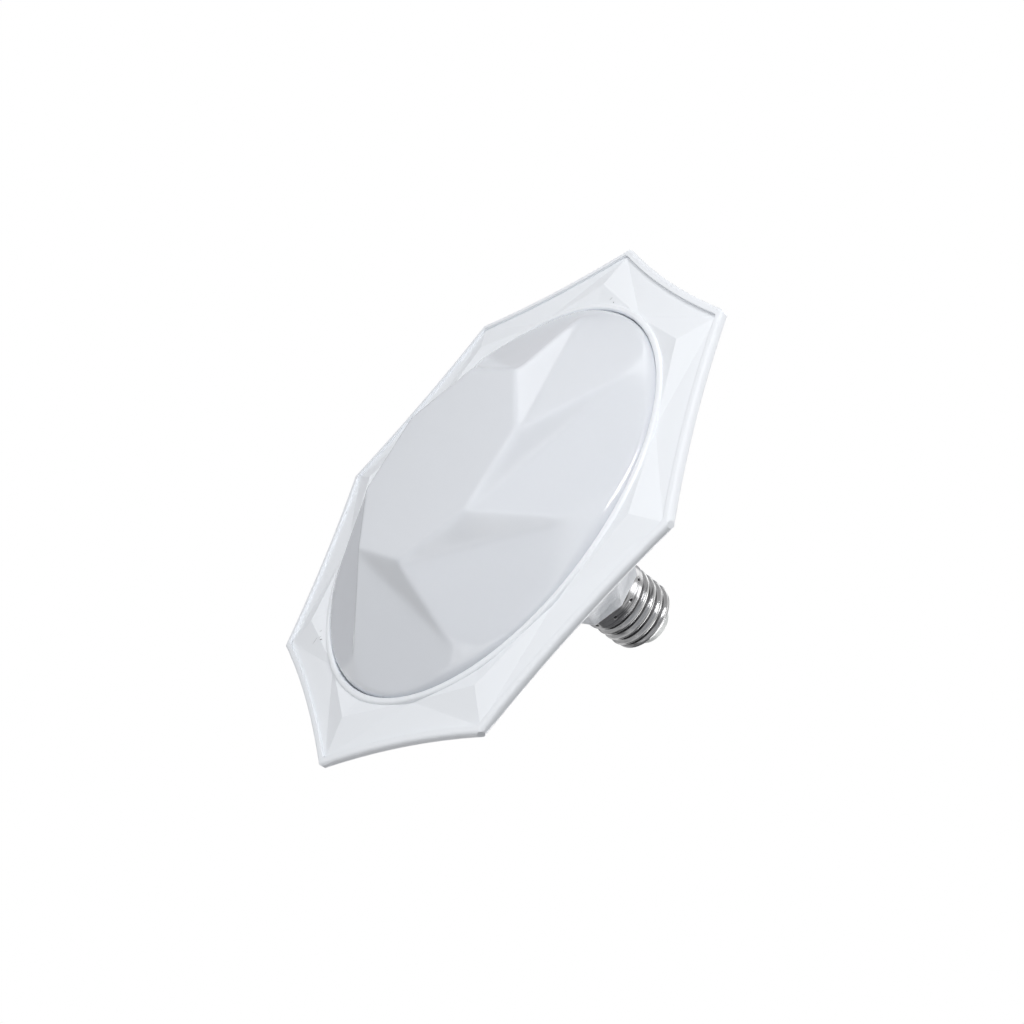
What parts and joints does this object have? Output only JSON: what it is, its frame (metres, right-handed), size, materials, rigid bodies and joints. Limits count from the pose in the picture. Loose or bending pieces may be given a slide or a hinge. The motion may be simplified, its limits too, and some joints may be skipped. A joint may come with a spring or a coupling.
{
  "type": "led lamp",
  "caption": "Screw-in ceiling lamp: a bowed eight-pointed white dish with a milky pinwheel star cover, a twisted funnel back and a threaded screw cap.",
  "frame": {"origin": "on the lamp's axis, at the plane where the screw cap meets the plastic neck", "axes": "+Z along the axis towards the lamp holder, -Z the way the light leaves, +X through one rim tip"},
  "size_m": [0.204, 0.204, 0.1092],
  "materials": {
    "white_plastic": "moulded white plastic, smooth gloss",
    "milky_plastic": "translucent milky plastic, smooth gloss",
    "plain_aluminium": "rolled sheet",
    "white_board": "aluminium board under a white solder mask",
    "led_yellow": "phosphor in a white package",
    "zinc_steel": "zinc-plated",
    "white_nylon": "moulded nylon",
    "green_board": "glass-epoxy board under a green solder mask",
    "black_epoxy": "moulded epoxy",
    "green_coating": "dipped coating",
    "blue_coating": "dipped coating",
    "red_case": "potted plastic case",
    "black_sleeve": "shrunk plastic sleeve",
    "ferrite": "sintered ferrite",
    "yellow_tape": "winding under yellow tape",
    "red_insulation": "wire insulation",
    "black_insulation": "wire insulation",
    "blue_insulation": "wire insulation",
    "nickel_plate": "nickel-plated, satin, with faint dark streaks",
    "grey_insulator": "moulded light-grey insulator"
  },
  "bodies": {
    "root": {"housing": "white_plastic", "cover": "milky_plastic", "heat_plate": "plain_aluminium", "light_board": "white_board", "led_packages": "led_yellow", "board_screws": "zinc_steel", "lead_socket": "white_nylon", "driver_board": "green_board", "bridge_rectifier": "black_epoxy", "fuse_resistor": "green_coating", "varistor": "blue_coating", "film_capacitor": "red_case", "filter_choke": "black_epoxy", "bulk_capacitor": "black_sleeve", "inductor_core": "ferrite", "inductor_coil": "yellow_tape", "output_capacitor": "black_sleeve", "control_chip": "black_epoxy", "output_diode": "black_epoxy", "sense_resistors": "black_epoxy", "plus_lead": "red_insulation", "minus_lead": "black_insulation", "live_lead": "red_insulation", "neutral_lead": "blue_insulation", "cap_shell": "nickel_plate", "cap_insulator": "grey_insulator", "cap_contact": "nickel_plate"}
  },
  "joints": []
}
